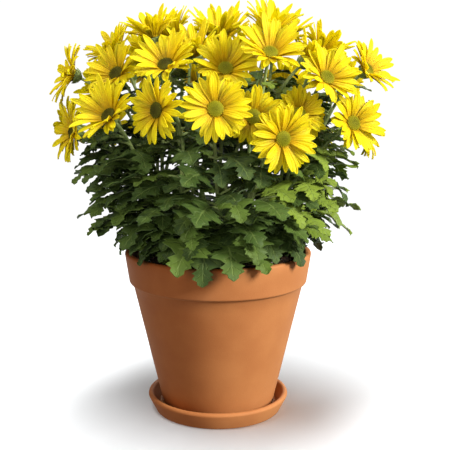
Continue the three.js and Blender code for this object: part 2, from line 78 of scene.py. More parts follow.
POT_HEIGHT = 141.2
POT_BASE_R = 49.5
POT_NECK_R = 75.8
RIM_HEIGHT = 28
RIM_LOW_R = 79
RIM_TOP_R = 82.5
RIM_EDGE = 2.4  # radius of its rounded edges
RIM_INNER_R = RIM_TOP_R - 6
POT_WALL = 5.5
POT_FLOOR = 7
DRAIN_R = 8
POT_Z = SAUCER_FLOOR
POT_TOP = POT_Z + POT_HEIGHT
RIM_Z = POT_TOP - RIM_HEIGHT

SOIL_TOP = POT_TOP - 12
SOIL_CROWN = 4  # how far it heaps up
HOLE_DEPTH = 20
CRUMBS = 420

ROUND_SIDES = 128  # of the pot and the saucer
BED_SIDES = 64
CUP_SIDES = 14
DISC_SIDES = 16

STEM_R = 2.5
STALK_R = 1.5
STALK_END = 3
FOOT_RING_R = 23
FORK_R = 66
FORK_Z = 198
STEM_RISE = 50
FORK_HEIGHT = 50
FORK_PULL = 25
DOME_R = 130
FORK_SPREAD = 0.0045  # how much lower a stalk starts, per millimetre inside the dome
STALK_START_PULL = 0.2
STALK_END_PULL = 0.4

CALYX_DEPTH = 8
DISC_R = 6.2
DISC_CROWN = 3
FLORETS = 84
SHADED_DISCS_BELOW_X = -30  # the blooms at this side get dark discs: painted shade
RING_OUTER_R = 6
RING_HALF = 1.1
RAYS = 6  # in each of the two layers that the solids have
RAY_ROOT_R = 4.6
RAY_HALF_WIDTH = 2.8
RAY_THICKNESS = 0.35
CUP = 12  # how far the upper rays rise at least, in degrees
CUP_SPREAD = 8
CUP_SKYWARD = 34
LAYER_STEP = 14
RAY_REACH = (0.9, 0.16)  # least share of the bloom's reach, and how much more
RAY_TILT = 5
RAY_SWING = 0.12
RAY_DROOP = 3.5

LEAF_THICKNESS = 0.55
STEM_LEAVES = 8
STALK_LEAVES = [(0.22, 44), (0.5, 38)]  # how far up a stalk, and how long a blade
CLEARANCE = 6.5  # between the leaves of different stems
OWN_CLEARANCE = 6  # and of the same stem
PETIOLE_CLEARANCE = 5
RIM_INSIDE = 9
RIM_ROOM = 2.5
SOIL_ROOM = 3
BLOOM_BACK = 7
BLOOM_FRONT = 16
BLOOM_ROOM = 2.5
LEAF_SHRINK = 0.025  # with each attempt
LEAF_SIZE = (0.85, 0.3)  # least share of the blade's length, and how much more
BEND_SPREAD = 40

# Small leaves of each stem. The stems at the left get some more at the end.
RIM_LEAVES = 16
REACHING_LEAVES = 4
MIDDLE_LEAVES = 9
LOW_LEAVES = 10
LATE_LEAVES = 12
LATE_STEMS = (8, 9)
# Yellow-green leaves grow at the right, from this height up.
YELLOW_GREEN_FROM_X = 25
YELLOW_GREEN_FROM_Z = 165

LEAF_SEED, FILL_SEED, SOIL_SEED = 6, 30, 41
# The first stem's or bloom's seed; the others' follow.
RAY_SEED, CUP_SEED, DISC_SEED, BLADE_SEED, EXTRA_SEED = 100, 300, 400, 600, 900

# The corners of a leaf's half edge that the room for each leaf is measured with.
LEAF_CORNERS = [(0.13, 0.27), (0.3, 0.13), (0.52, 0.36), (0.69, 0.15)]

# Each leafy stem leans out at a bearing, in degrees from the front towards +X, and carries blooms:
# x, y, z of the bloom's middle, the bearing and the height in degrees that it faces, its reach.
SPRAYS = [
    (0, [(-2, -112, 275, 4, 18, 27), (6, -63, 304, 2, 35, 27), (42, -34, 335, 44, 74, 23)]),
    (25, [(49, -97, 252, 22, 3, 28), (27, -86, 268, 8, 10, 23), (40, -80, 316, 12, 46, 27),
          (73, -24, 311, 100, 41, 23)]),
    (54, [(64, -62, 268, 14, 12, 23), (86, -60, 297, 27, 32, 27), (108, -58, 261, 29, 21, 26),
          (42, 8, 323, 129, 72, 22)]),
    (83, [(124, -16, 254, 85, 3, 26), (125, -15, 303, 52, 34, 26), (109, 39, 290, 153, 39, 22),
          (116, 27, 256, 81, 17, 25)]),
    (116, [(89, 10, 317, 113, 54, 23), (97, 79, 251, 96, 6, 25), (55, 44, 331, 120, 66, 26),
           (65, 102, 253, 178, 3, 25)]),
    (158, [(4, 50, 330, 166, 82, 25), (13, 123, 252, 194, 24, 26), (26, 83, 312, 148, 70, 24),
           (64, 73, 286, 168, 38, 26)]),
    (195, [(26, 113, 284, 132, 53, 27), (-26, 121, 253, 231, 11, 25), (-19, 114, 287, 169, 51, 26),
           (-66, 89, 300, 195, 31, 24), (-25, 73, 316, 168, 56, 22)]),
    (233, [(-64, 112, 251, 199, 11, 26), (-101, 72, 250, 221, 19, 25),
           (-63, 55, 316, 204, 37, 22), (-99, 31, 284, 235, 30, 27)]),
    (272, [(-124, -6, 299, 284, 20, 27), (-121, -26, 252, 298, 8, 27),
           (-129, 22, 254, 254, 0, 26), (-40, 22, 331, 263, 66, 24)]),
    (304, [(-85, -76, 268, 322, 37, 28), (-84, -26, 300, 326, 34, 27),
           (-88, 6, 317, 296, 52, 24), (-53, -28, 331, 293, 73, 24)]),
    (333, [(-45, -105, 274, 317, 5, 26), (-41, -66, 307, 342, 45, 27), (0, -2, 330, 339, 80, 24),
           (-19, -37, 316, 326, 70, 24)]),
]


# --- how the plant grows

def random_from(seed):
    """Random numbers from 0 to 1, the same as the solids were grown with."""
    word = 0xFFFFFFFF
    state = seed

    def draw():
        nonlocal state
        state = (state + 0x6D2B79F5) & word
        mixed = ((state ^ (state >> 15)) * (1 | state)) & word
        mixed = ((mixed + (mixed ^ (mixed >> 7)) * (61 | mixed)) & word) ^ mixed
        return (mixed ^ (mixed >> 14)) / 2**32

    return draw


def vary(least, more, draw):
    """A value that is at least this, and at most this much more."""
    return least + more * draw()


def towards(bearing, height):
    """The direction at a bearing from the front and a height above level, both in degrees."""
    b, h = math.radians(bearing), math.radians(height)
    return np.array([math.sin(b) * math.cos(h), -math.cos(b) * math.cos(h), math.sin(h)])


def unit(vector):
    return vector / np.linalg.norm(vector)


def on_curve(handles, share):
    """Points of a cubic curve from its four handles, at shares of its way."""
    t = np.asarray(share, float)[..., None]
    a, b, c, d = handles
    return (1 - t) ** 3 * a + 3 * (1 - t) ** 2 * t * b + 3 * (1 - t) * t**2 * c + t**3 * d


def tangent(handles, share):
    step = 0.0001
    low, high = max(share - step, 0), min(share + step, 1)
    return unit(on_curve(handles, high) - on_curve(handles, low))


class Bloom:
    """A bloom's middle, the way that it faces, two directions across its face, and its reach."""

    def __init__(self, x, y, z, bearing, height, reach):
        self.middle = np.array([x, y, z], float)
        self.axis = towards(bearing, height)
        self.across = unit(np.cross([0, 0, 1], self.axis))
        self.up = np.cross(self.axis, self.across)
        self.reach = reach

    def place(self, points):
        """Points modelled on the Z axis, as they sit in this bloom."""
        points = np.asarray(points, float)
        return self.middle + points @ np.array([self.across, self.up, self.axis])


class Spray:
    """A leafy stem's own curve, its blooms and the curve of each bloom's stalk."""

    def __init__(self, bearing, blooms):
        out = towards(bearing, 0)
        foot = np.array([0, 0, SOIL_TOP - HOLE_DEPTH]) + FOOT_RING_R * out
        fork = np.array([0, 0, FORK_Z]) + FORK_R * out
        under_fork = fork - FORK_PULL * towards(bearing, FORK_HEIGHT)
        self.stem = (foot, foot + [0, 0, STEM_RISE], under_fork, fork)
        self.blooms = [Bloom(*bloom) for bloom in blooms]
        self.stalks = [self.stalk_to(bloom) for bloom in self.blooms]

    def stalk_to(self, bloom):
        inside = DOME_R - math.hypot(bloom.middle[0], bloom.middle[1])
        share = 1 - FORK_SPREAD * max(0, inside)
        start = on_curve(self.stem, share)
        end = bloom.middle - (CALYX_DEPTH - STALK_END) * bloom.axis
        span = np.linalg.norm(end - start)
        start_handle = start + STALK_START_PULL * span * tangent(self.stem, share)
        return (start, start_handle, end - STALK_END_PULL * span * bloom.axis, end)


sprays = [Spray(bearing, blooms) for bearing, blooms in SPRAYS]
all_blooms = [bloom for spray in sprays for bloom in spray.blooms]


class Leaf(NamedTuple):
    """A leaf that bends down evenly from its root to its tip, in an upright plane."""

    root: np.ndarray
    heading: float
    rise: float
    bend: float
    blade: float
    petiole: float
    roll: float
    fold: float
    large: bool

    def points(self, distance, sideways=0, lift=0):
        """Points along the middle line, out to the side, and up from the surface."""
        distance, sideways, lift = np.broadcast_arrays(np.asarray(distance, float), sideways, lift)
        whole = self.petiole + self.blade
        height = self.rise - self.bend * distance / whole
        run = whole / self.bend * (math.sin(self.rise) - np.sin(height))
        climb = whole / self.bend * (np.cos(height) - math.cos(self.rise))
        skyward = np.array([0, 0, 1])
        out = np.array([math.sin(self.heading), -math.cos(self.heading), 0])
        side = np.array([math.cos(self.heading), math.sin(self.heading), 0])
        normal = -np.sin(height)[..., None] * out + np.cos(height)[..., None] * skyward
        rolled_side = math.cos(self.roll) * side + math.sin(self.roll) * normal
        rolled_normal = math.cos(self.roll) * normal - math.sin(self.roll) * side
        middle = self.root + run[..., None] * out + climb[..., None] * skyward
        up = lift + self.fold * np.abs(sideways)
        return middle + sideways[..., None] * rolled_side + up[..., None] * rolled_normal

    def corners(self):
        """The corners of the edge, from the base round the tip and back."""
        shares, widths = np.array([*LEAF_CORNERS, (1, 0), *reversed(LEAF_CORNERS)]).T
        sides = np.sign(np.arange(len(shares)) - len(LEAF_CORNERS))
        return self.points(self.petiole + shares * self.blade, sides * widths * self.blade)

    def samples(self):
        """Points spread over the leaf: its edge, its rib, and halfway between them."""
        edge = self.corners()
        rib = self.points(self.petiole + np.array([0.25, 0.5, 0.75]) * self.blade)
        on_edge = (edge[1:] + edge[:-1]) / 2
        inside = (np.concatenate([edge, on_edge]) + rib[1]) / 2
        return np.concatenate([edge, on_edge, rib, inside])


def clear_of_pot(points):
    radius = np.hypot(points[:, 0], points[:, 1])
    z = points[:, 2]
    at_rim = (radius > RIM_TOP_R - RIM_INSIDE) & (radius < RIM_TOP_R + RIM_ROOM)
    over_rim = ~at_rim | (z > POT_TOP + RIM_ROOM)
    over_mix = (radius > RIM_TOP_R) | (z > SOIL_TOP + SOIL_CROWN + SOIL_ROOM)
    return bool((over_rim & over_mix).all())


def clear_of_blooms(points):
    for bloom in all_blooms:
        away = points - bloom.middle
        ahead = away @ bloom.axis
        aside = np.sqrt(np.maximum(0, (away**2).sum(1) - ahead**2))
        beyond = (ahead < -BLOOM_BACK) | (ahead > BLOOM_FRONT)
        if not (beyond | (aside > bloom.reach + BLOOM_ROOM)).all():
            return False
    return True


def crowded(points, others, clearance):
    """Whether any point comes as near as the clearance to any of the others."""
    low, high = points.min(0) - clearance, points.max(0) + clearance
    near = others[((others > low) & (others < high)).all(1)]
    return bool((np.linalg.norm(points[:, None] - near[None], axis=2) <= clearance).any())


def fits(leaf, own, foreign):
    """Whether a leaf keeps clear of the pot, the blooms, its own stem's pieces and the others'."""
    petiole = leaf.points(np.array([0.6, 1]) * leaf.petiole)
    samples = leaf.samples()
    both = np.concatenate([petiole, samples])
    return (
        clear_of_pot(both)
        and clear_of_blooms(both)
        and not crowded(petiole, foreign, PETIOLE_CLEARANCE)
        and not crowded(samples, foreign, CLEARANCE)
        and not crowded(samples, own, OWN_CLEARANCE)
    )


def fits_between(leaf, others, clearance):
    """Whether a small leaf finds room among what has grown."""
    samples = leaf.samples()
    clear = clear_of_pot(samples) and clear_of_blooms(samples)
    return clear and not crowded(samples, others, clearance)


class Slot(NamedTuple):
    """Where a leaf may grow. Its rise, bend and spread (the turn to its side) are in degrees."""

    root: np.ndarray
    side: int
    blade: float
    petiole: float
    rise: float
    bend: float
    spread: float = 70
    clearance: float = None  # of small leaves only


class Habit(NamedTuple):
    """How one kind of leaf varies. A pair is a least value, and how much more it may be."""

    least_turn: float
    rise_spread: float
    roll: tuple
    fold: tuple
    attempts: int
    large: bool


LARGE = Habit(5, 30, roll=(4, 22), fold=(0.12, 0.2), attempts=24, large=True)
SMALL = Habit(4, 36, roll=(-4, 30), fold=(0.1, 0.2), attempts=18, large=False)


def side_of(number):
    return 1 if number % 2 else -1


def leaf_slots(spray):
    """Where large leaves grow: along the stem from side to side, and on each bloom's stalk."""
    slots = []
    for i in range(STEM_LEAVES):
        share = i / (STEM_LEAVES - 1)
        root = on_curve(spray.stem, 0.26 + 0.72 * share)
        blade, petiole = 50 - 4 * share, 30 - 14 * share
        slots.append(Slot(root, side_of(i), blade, petiole, rise=28, bend=86))
    for i, stalk in enumerate(spray.stalks):
        for place, blade in STALK_LEAVES:
            side = side_of(i + len(slots))
            slots.append(Slot(on_curve(stalk, place), side, blade, petiole=9, rise=22, bend=70))
    return slots


def filling_slots(spray):
    """Where small leaves grow: over the rim, outwards, along the stem and the stalks, and low."""
    for i in range(RIM_LEAVES):
        root = on_curve(spray.stem, 0.26 + 0.022 * i)
        petiole, rise = 12 + 4 * (i % 5), 54 - 2 * i
        yield Slot(root, side_of(i), 44, petiole, rise, bend=110, spread=56, clearance=1.8)
    for i in range(REACHING_LEAVES):
        root = on_curve(spray.stem, 0.64 + 0.09 * i)
        yield Slot(root, -side_of(i), 43, 26, rise=12, bend=44, spread=46, clearance=2.4)
    for i in range(MIDDLE_LEAVES):
        root = on_curve(spray.stem, 0.42 + 0.58 * i / (MIDDLE_LEAVES - 1))
        petiole, bend = 8 + 7 * (i % 3), 84 - 16 * (i % 3)
        yield Slot(root, -side_of(i), 39, petiole, 22, bend, spread=104, clearance=2.4)
    for i, stalk in enumerate(spray.stalks):
        for j, place in enumerate((0.05, 0.18, 0.32)):
            root = on_curve(stalk, place)
            yield Slot(root, side_of(i + j), 39, 12, rise=20, bend=62, spread=104, clearance=2.4)
        for j, place in enumerate((0.46, 0.6, 0.72, 0.84)):
            root, blade = on_curve(stalk, place), 31 - 2.5 * j
            yield Slot(root, -side_of(i + j), blade, 5, rise=34, bend=70, spread=104, clearance=2.4)
        for j, place in enumerate((0.52, 0.66, 0.8)):
            root = on_curve(stalk, place)
            yield Slot(root, side_of(i + j), 30, 5, rise=20, bend=60, spread=180, clearance=2)
    for i in range(LOW_LEAVES):
        root = on_curve(spray.stem, 0.22 + 0.03 * i)
        petiole = 12 + 5 * (i % 4)
        yield Slot(root, -side_of(i), 32, petiole, rise=30, bend=60, spread=70, clearance=1.5)


def late_slots(spray):
    """Where the last small leaves grow: outwards from the stalks, and over the rim."""
    for i, stalk in enumerate(spray.stalks):
        for j, place in enumerate((0.3, 0.4, 0.5)):
            root = on_curve(stalk, place)
            yield Slot(root, side_of(i + j), 42, 8, rise=4, bend=36, spread=24, clearance=1.4)
    for i in range(LATE_LEAVES):
        root = on_curve(spray.stem, 0.24 + 0.025 * i)
        petiole = 14 + 4 * (i % 4)
        yield Slot(root, -side_of(i), 34, petiole, rise=46, bend=90, spread=70, clearance=1.2)


def first_that_fits(slot, habit, draw, has_room, *around):
    """The first of a slot's attempts that has room, or nothing. Each one is a little shorter."""
    bearing = math.atan2(slot.root[0], -slot.root[1])
    more_turn = slot.spread - habit.least_turn
    for attempt in range(habit.attempts):
        leaf = Leaf(
            root=slot.root,
            heading=bearing + slot.side * math.radians(vary(habit.least_turn, more_turn, draw)),
            rise=math.radians(slot.rise + habit.rise_spread * (draw() - 0.5)),
            bend=math.radians(slot.bend + BEND_SPREAD * (draw() - 0.5)),
            blade=slot.blade * vary(*LEAF_SIZE, draw) * (1 - LEAF_SHRINK * attempt),
            petiole=slot.petiole,
            roll=slot.side * math.radians(vary(*habit.roll, draw)),
            fold=vary(*habit.fold, draw),
            large=habit.large,
        )
        if has_room(leaf, *around):
            return leaf
    return None


def grow_leaves():
    """The large leaves of every stem, and the points that all pieces of the plant take up."""
    draw = random_from(LEAF_SEED)
    steps = np.arange(13) / 12
    taken = [
        np.concatenate([on_curve(curve, steps) for curve in (spray.stem, *spray.stalks)])
        for spray in sprays
    ]
    grown = []
    for owner, spray in enumerate(sprays):
        leaves = []
        foreign = np.concatenate([points for i, points in enumerate(taken) if i != owner])
        for slot in leaf_slots(spray):
            leaf = first_that_fits(slot, LARGE, draw, fits, taken[owner], foreign)
            if leaf:
                leaves.append(leaf)
                taken[owner] = np.concatenate([taken[owner], leaf.samples()])
        grown.append(leaves)
    return grown, np.concatenate(taken)


def fill_with_leaves(leaves_of, taken):
    """Adds small leaves to each stem's own, where there is room for them."""
    draw = random_from(FILL_SEED)
    turns = [(leaves, filling_slots(spray)) for spray, leaves in zip(sprays, leaves_of)]
    turns += [(leaves_of[i], late_slots(sprays[i])) for i in LATE_STEMS]
    for leaves, slots in turns:
        for slot in slots:
            leaf = first_that_fits(slot, SMALL, draw, fits_between, taken, slot.clearance)
            if leaf:
                leaves.append(leaf)
                taken = np.concatenate([taken, leaf.samples()])


# --- meshes

def select_only(piece):
    """Selects one object and nothing else."""
    bpy.ops.object.select_all(action="DESELECT")
    piece.select_set(True)
    bpy.context.view_layer.objects.active = piece


def added(name, data):
    """A new object in the scene, with this mesh, curve, lamp or camera."""
    piece = bpy.data.objects.new(name, data)
    bpy.context.scene.collection.objects.link(piece)
    return piece


def primitive(add, **settings):
    """The object that an operator adds."""
    bpy.ops.object.select_all(action="DESELECT")
    add(**settings)
    return bpy.context.object


def settle(piece):
    """Puts a piece's place into its mesh, with its object at the origin."""
    select_only(piece)
    bpy.ops.object.transform_apply(location=True, rotation=True, scale=True)


def thicken(sheet, thickness):
    """Gives a sheet its thickness, half to each side."""
    select_only(sheet)
    modifier = sheet.modifiers.new("Solidify", "SOLIDIFY")
    modifier.thickness = thickness * MM
    modifier.offset = 0
    modifier.use_rim = True
    bpy.ops.object.modifier_apply(modifier=modifier.name)


def joined(piece, other):
    """One piece from two."""
    select_only(piece)
    other.select_set(True)
    bpy.ops.object.join()
    return piece


def finish_piece(piece, name, finish, nodes, smooth=40):
    """Names a piece, gives it its finish, shades it smooth, hangs it on the root body and hides the
    solids that it stands for.
    """
    piece.name = name
    piece.data.name = name
    piece.data.materials.clear()
    piece.data.materials.append(finish)
    select_only(piece)
    bpy.ops.object.shade_smooth_by_angle(angle=math.radians(smooth))
    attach(piece, "root")
    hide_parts(*nodes)


def turned(profile, sides):
    """A closed piece of revolution: a ring of edges, extruded along the points of its profile."""
    (radius, height), *others = profile
    start = {"radius": radius * MM, "location": (0, 0, height * MM)}
    piece = primitive(bpy.ops.mesh.primitive_circle_add, vertices=sides, fill_type="NGON", **start)
    bpy.ops.object.mode_set(mode="EDIT")
    bpy.ops.mesh.select_all(action="SELECT")
    for next_radius, next_height in others:
        rise = (0, 0, (next_height - height) * MM)
        bpy.ops.mesh.extrude_region_move(TRANSFORM_OT_translate={"value": rise})
        scale = next_radius / radius
        centre = (0, 0, next_height * MM)
        bpy.ops.transform.resize(value=(scale, scale, 1), center_override=centre)
        radius, height = next_radius, next_height
    bpy.ops.mesh.select_all(action="SELECT")
    bpy.ops.mesh.normals_make_consistent(inside=False)
    bpy.ops.object.mode_set(mode="OBJECT")
    settle(piece)
    return piece


def arc(radius, height, size, start, end, steps):
    """Points of a rounded edge of a profile, from one angle to another."""
    angles = [math.radians(start + (end - start) * i / steps) for i in range(steps + 1)]
    return [(radius + size * math.cos(a), height + size * math.sin(a)) for a in angles]


class Pattern:
    """A shape that is modelled once, as the points and faces of its mesh."""

    def __init__(self, piece):
        self.points = np.array([vertex.co for vertex in piece.data.vertices])
        self.faces = [tuple(face.vertices) for face in piece.data.polygons]
        bpy.data.objects.remove(piece)


def sheet_pattern(columns, rows):
    """A sheet from -1 to 1 across and from 0 to 1 along."""
    grid = {"x_subdivisions": columns, "y_subdivisions": rows, "size": 2}
    pattern = Pattern(primitive(bpy.ops.mesh.primitive_grid_add, **grid))
    pattern.points[:, 1] = (pattern.points[:, 1] + 1) / 2
    return pattern


def turned_pattern(profile, sides):
    """A turned shape, in millimetres."""
    pattern = Pattern(turned(profile, sides))
    pattern.points /= MM
    return pattern


def rows_of(sheet, count):
    """The number of the row that each point of a sheet is in."""
    return np.rint(sheet.points[:, 1] * (count - 1)).astype(int)


class Copies:
    """Copies of patterns, gathered into one mesh. Each has its own tone, from 0 to 1."""

    def __init__(self):
        self.points, self.faces, self.places, self.tones = [], [], [], []
        self.count = 0

    def add(self, pattern, points, tone):
        """A copy with its points moved to these, in millimetres."""
        self.faces += [tuple(self.count + i for i in face) for face in pattern.faces]
        self.points.append(points * MM)
        self.places.append(pattern.points[:, :2])
        self.tones.append(np.full(len(points), tone))
        self.count += len(points)

    def piece(self):
        mesh = bpy.data.meshes.new("copies")
        mesh.from_pydata(np.concatenate(self.points), [], self.faces)
        corners = np.array([loop.vertex_index for loop in mesh.loops])
        mesh.uv_layers.new(name="sheet")
        places = np.concatenate(self.places)[corners]
        mesh.uv_layers["sheet"].data.foreach_set("uv", places.ravel())
        tone = mesh.attributes.new("tone", "FLOAT", "POINT")
        tone.data.foreach_set("value", np.concatenate(self.tones))
        mesh.validate()
        return added("copies", mesh)


class Rods:
    """Round stalks along curves, gathered into one mesh."""

    def __init__(self, name):
        self.curve = bpy.data.curves.new(name, "CURVE")
        self.curve.dimensions = "3D"
        self.curve.bevel_depth = MM
        self.curve.bevel_resolution = 2
        self.curve.resolution_u = 10
        self.curve.use_fill_caps = True

    def along(self, handles, start_r, end_r):
        """A rod along a cubic curve."""
        spline = self.curve.splines.new("BEZIER")
        spline.bezier_points.add(1)
        first, last = spline.bezier_points
        a, b, c, d = (Vector(handle) * MM for handle in handles)
        first.co, first.handle_right, first.handle_left = a, b, a - (b - a)
        last.co, last.handle_left, last.handle_right = d, c, d + (d - c)
        first.radius, last.radius = start_r, end_r

    def through(self, points, radii):
        """A rod through points, each with its own radius."""
        spline = self.curve.splines.new("POLY")
        spline.points.add(len(points) - 1)
        for place, point, radius in zip(spline.points, points, radii):
            place.co = (*(point * MM), 1)
            place.radius = radius

    def piece(self):
        select_only(added(self.curve.name, self.curve))
        bpy.ops.object.convert(target="MESH")
        return bpy.context.object


# --- finishes

def colour(red, green, blue):
    """A colour from its values on a screen, 0 to 255, as a shader takes it."""
    values = (red, green, blue)
    return *(((v / 255 + 0.055) / 1.055) ** 2.4 if v > 10 else v / 3295 for v in values), 1


class Wire:
    """A number on its way between nodes. Arithmetic on wires adds Math nodes."""

    def __init__(self, finish, socket):
        self.finish, self.socket = finish, socket

    def __add__(self, other):
        return self.finish.maths("ADD", self, other)

    def __radd__(self, other):
        return self.finish.maths("ADD", other, self)

    def __sub__(self, other):
        return self.finish.maths("SUBTRACT", self, other)

    def __rsub__(self, other):
        return self.finish.maths("SUBTRACT", other, self)

    def __mul__(self, other):
        return self.finish.maths("MULTIPLY", self, other)

    def __rmul__(self, other):
        return self.finish.maths("MULTIPLY", other, self)

    def __abs__(self):
        return self.finish.maths("ABSOLUTE", self, 0)


class Finish:
    """A material: one Principled shader and the nodes that feed it."""

    def __init__(self, name, **constants):
        self.material = bpy.data.materials.new(name)
        self.material.use_nodes = True
        self.tree = self.material.node_tree
        self.shader = self.tree.nodes["Principled BSDF"]
        for socket, value in constants.items():
            self.set(socket.replace("_", " "), value)

    def feed(self, socket, value):
        if isinstance(value, Wire):
            self.tree.links.new(value.socket, socket)
        else:
            socket.default_value = value

    def set(self, socket, value):
        self.feed(self.shader.inputs[socket], value)

    def node(self, kind, values=None, **settings):
        """Any node: its type, what its sockets take, and its settings."""
        made = self.tree.nodes.new(kind)
        for name, value in settings.items():
            setattr(made, name, value)
        for socket, value in (values or {}).items():
            self.feed(made.inputs[socket], value)
        return made

    def wire(self, made, output=0):
        return Wire(self, made.outputs[output])

    def maths(self, operation, first, second=0):
        return self.wire(self.node("ShaderNodeMath", {0: first, 1: second}, operation=operation))

    def within(self, value, low, high):
        """0 up to low, 1 from high, and smooth between."""
        values = {0: value, 1: low, 2: high}
        return self.wire(self.node("ShaderNodeMapRange", values, interpolation_type="SMOOTHSTEP"))

    def mix(self, share, first, second):
        values = {0: share, 6: first, 7: second}
        return self.wire(self.node("ShaderNodeMix", values, data_type="RGBA"), 2)

    def ramp(self, share, *stops):
        made = self.node("ShaderNodeValToRGB", {0: share})
        ramp = made.color_ramp.elements
        while len(ramp) < len(stops):
            ramp.new(1)
        for element, (place, *shade) in zip(ramp, stops):
            element.position, element.color = place, colour(*shade)
        return self.wire(made)

    def place(self, stretch=(1, 1, 1)):
        """Where on the object, in metres, stretched along its axes."""
        there = self.wire(self.node("ShaderNodeTexCoord"), 3)
        return self.wire(self.node("ShaderNodeMapping", {0: there, 3: stretch}))

    def noise(self, size, detail=3, stretch=(1, 1, 1)):
        """A cloudy pattern with features of about this many millimetres."""
        values = {"Vector": self.place(stretch), "Scale": 1 / (size * MM), "Detail": detail}
        return self.wire(self.node("ShaderNodeTexNoise", values))

    def across_and_along(self):
        """A sheet's own places: from -1 to 1 across it, and from 0 to 1 along it."""
        places = self.wire(self.node("ShaderNodeUVMap", uv_map="sheet"))
        parts = self.node("ShaderNodeSeparateXYZ", {0: places})
        return self.wire(parts, 0), self.wire(parts, 1)

    def tone(self):
        return self.wire(self.node("ShaderNodeAttribute", attribute_name="tone"), 2)

    def bump(self, height, depth):
        """Raises the surface by a height from 0 to 1, with a depth in millimetres."""
        values = {"Height": height, "Distance": depth * MM, "Strength": 1}
        self.set("Normal", self.wire(self.node("ShaderNodeBump", values)))


def clay(name):
    """Fired clay: warm orange, cloudy, with fine sand, pores and faint turning rings."""
    finish = Finish(name, Specular_IOR_Level=0.22)
    cloud = finish.noise(34, 4)
    sand = finish.noise(1.1, 3)
    rings = finish.noise(2.2, 2, (0.02, 0.02, 1))
    bloom = finish.noise(60, 5)
    body = finish.mix(finish.within(cloud, 0.3, 0.7), colour(160, 101, 55), colour(169, 110, 62))
    body = finish.mix(finish.within(sand, 0.62, 0.78) * 0.3, body, colour(190, 128, 80))
    body = finish.mix(finish.within(1 - sand, 0.66, 0.8) * 0.3, body, colour(120, 62, 32))
    body = finish.mix(finish.within(bloom, 0.56, 0.8) * 0.16, body, colour(188, 136, 96))
    finish.set("Base Color", body)
    finish.set("Roughness", 0.62 + 0.16 * cloud)
    finish.bump(sand * 0.7 + rings * 0.5, 0.12)
    return finish.material


def soil():
    """Moist peat and bark, with a few pale grains."""
    finish = Finish("potting_mix", Specular_IOR_Level=0.2)
    grain = finish.noise(2.2, 5)
    shade = finish.mix(finish.within(grain, 0.35, 0.7), colour(34, 24, 17), colour(78, 58, 42))
    pale = finish.within(finish.tone(), 0.93, 0.95)
    finish.set("Base Color", finish.mix(pale, shade, colour(205, 200, 190)))
    finish.set("Roughness", 0.85 + 0.1 * grain)
    finish.bump(grain, 0.8)
    return finish.material


def stalk_green():
    """Ridged, cloudy, pale green stalks."""
    finish = Finish("stalk_green", Specular_IOR_Level=0.35)
    ridges = finish.noise(1.1, 2, (1, 1, 0.06))
    cloud = finish.within(finish.noise(14, 3), 0.35, 0.65)
    ridge = finish.within(ridges, 0.45, 0.7) * 0.5
    shade = finish.mix(cloud, colour(104, 126, 62), colour(142, 158, 92))
    finish.set("Base Color", finish.mix(ridge, shade, colour(172, 182, 122)))
    finish.set("Roughness", 0.5 + 0.2 * ridges)
    finish.bump(ridges, 0.3)
    return finish.material


def leaf_green():
    """Dark green blades with paler ribs and veins; those with a high tone are yellow-green."""
    finish = Finish("leaf_green", Specular_IOR_Level=0.2)
    across, along = finish.across_and_along()
    side = abs(across)
    rib = 1 - finish.within(side, 0.02, 0.1)
    from_vein = finish.maths("PINGPONG", along - side * 0.16, 0.075)
    vein = (1 - finish.within(from_vein, 0.004, 0.02)) * (1 - finish.within(side, 0.75, 1))
    cloud = finish.noise(9, 3)
    blade = finish.ramp(
        finish.tone(),
        (0.0, 36, 52, 20),
        (0.5, 56, 76, 28),
        (0.84, 78, 98, 34),
        (0.9, 98, 118, 38),
        (1.0, 116, 134, 44),
    )
    blade = finish.mix(finish.within(cloud, 0.4, 0.8) * 0.4, blade, colour(92, 112, 42))
    mark = finish.maths("MAXIMUM", rib, vein * 0.5) * 0.4
    groove = 1 - finish.maths("MAXIMUM", rib, vein)
    finish.set("Base Color", finish.mix(mark, blade, colour(112, 130, 66)))
    finish.set("Roughness", 0.5 + 0.2 * cloud)
    finish.bump(groove * 0.8 + finish.noise(1.6, 2) * 0.3, 0.5)
    return finish.material


def ray_yellow():
    """Yellow rays, clear yellow further out, with fine grooves; painted shade makes them deep gold
    at the root and darker in the grooves and at the edges.
    """
    finish = Finish("ray_yellow", Specular_IOR_Level=0.15)
    finish.set("Subsurface Weight", 0.6)
    finish.set("Subsurface Scale", 0.004)
    finish.set("Subsurface Radius", (1, 0.85, 0.08))
    across, along = finish.across_and_along()
    grooves = finish.maths("COSINE", across * 9.4) * 0.5 + 0.5
    edge = finish.within(abs(across), 0.6, 1)
    streak = finish.noise(1.4, 2)
    pale = finish.within(streak, 0.5, 0.8) * 0.15
    # painted shade: the ramp darkens the root of each ray to deep gold
    shade = finish.ramp(
        along,
        (0.0, 142, 94, 4),
        (0.2, 196, 152, 4),
        (0.46, 217, 194, 4),
        (1.0, 222, 207, 14),
    )
    # painted shade in the grooves
    shade = finish.mix(grooves * 0.22, shade, colour(188, 151, 2))
    # painted shade at the edges, where the rays overlap
    shade = finish.mix(edge * 0.35, shade, colour(174, 135, 2))
    shade = finish.mix(finish.tone() * 0.4, shade, colour(198, 158, 4))
    finish.set("Base Color", finish.mix(pale, shade, colour(230, 220, 44)))
    finish.set("Roughness", 0.5 + 0.12 * streak)
    finish.bump(grooves * 0.8 + streak * 0.3, 0.25)
    return finish.material


def disc_green():
    """The disc's florets: green buds in the middle, yellower towards the edge."""
    finish = Finish("disc_green", Specular_IOR_Level=0.12)
    # The darkest tones are painted shade, for the discs of the blooms at the left side.
    shade = finish.ramp(
        finish.tone(),
        (0.0, 48, 44, 14),
        (0.3, 98, 98, 14),
        (0.6, 132, 130, 16),
        (0.86, 158, 150, 18),
        (1.0, 182, 156, 14),
    )
    finish.set("Base Color", finish.mix(finish.noise(0.9, 2) * 0.35, shade, colour(76, 74, 12)))
    finish.set("Roughness", 0.6 + 0.2 * finish.noise(2, 2))
    return finish.material


